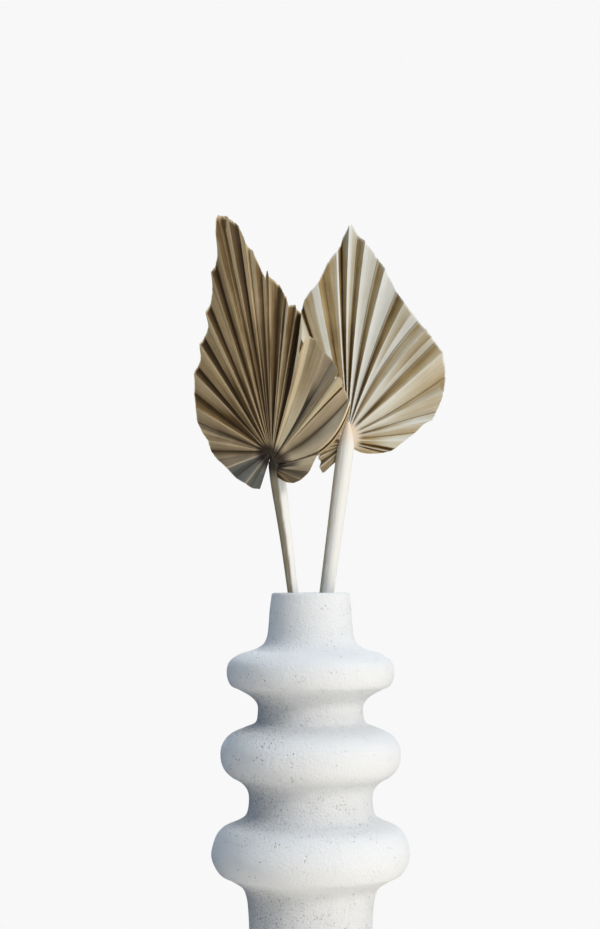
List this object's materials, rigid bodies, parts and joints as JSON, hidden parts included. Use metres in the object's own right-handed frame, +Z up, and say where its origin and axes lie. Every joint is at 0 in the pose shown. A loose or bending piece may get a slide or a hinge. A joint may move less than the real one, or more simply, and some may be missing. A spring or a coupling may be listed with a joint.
{
  "type": "dried palm leaves in a vase",
  "caption": "Trimmed, dried fan palm leaves on stalks, standing in a hollow ceramic vase with rounded rings and a straight neck.",
  "frame": {"origin": "centre of the vase's flat bottom, on the surface it stands on", "axes": "+Z up along the vase's axis, -Y towards the front that the leaves' pleats face, +X to the right seen from the front"},
  "size_m": [0.1689, 0.1296, 0.4911],
  "materials": {
    "vase": "matte",
    "leaf_khaki": "matte",
    "leaf_cream": "matte"
  },
  "bodies": {
    "root": {"vase": "vase", "palm_leaf_left": "leaf_khaki", "palm_leaf_right": "leaf_cream"}
  },
  "joints": []
}
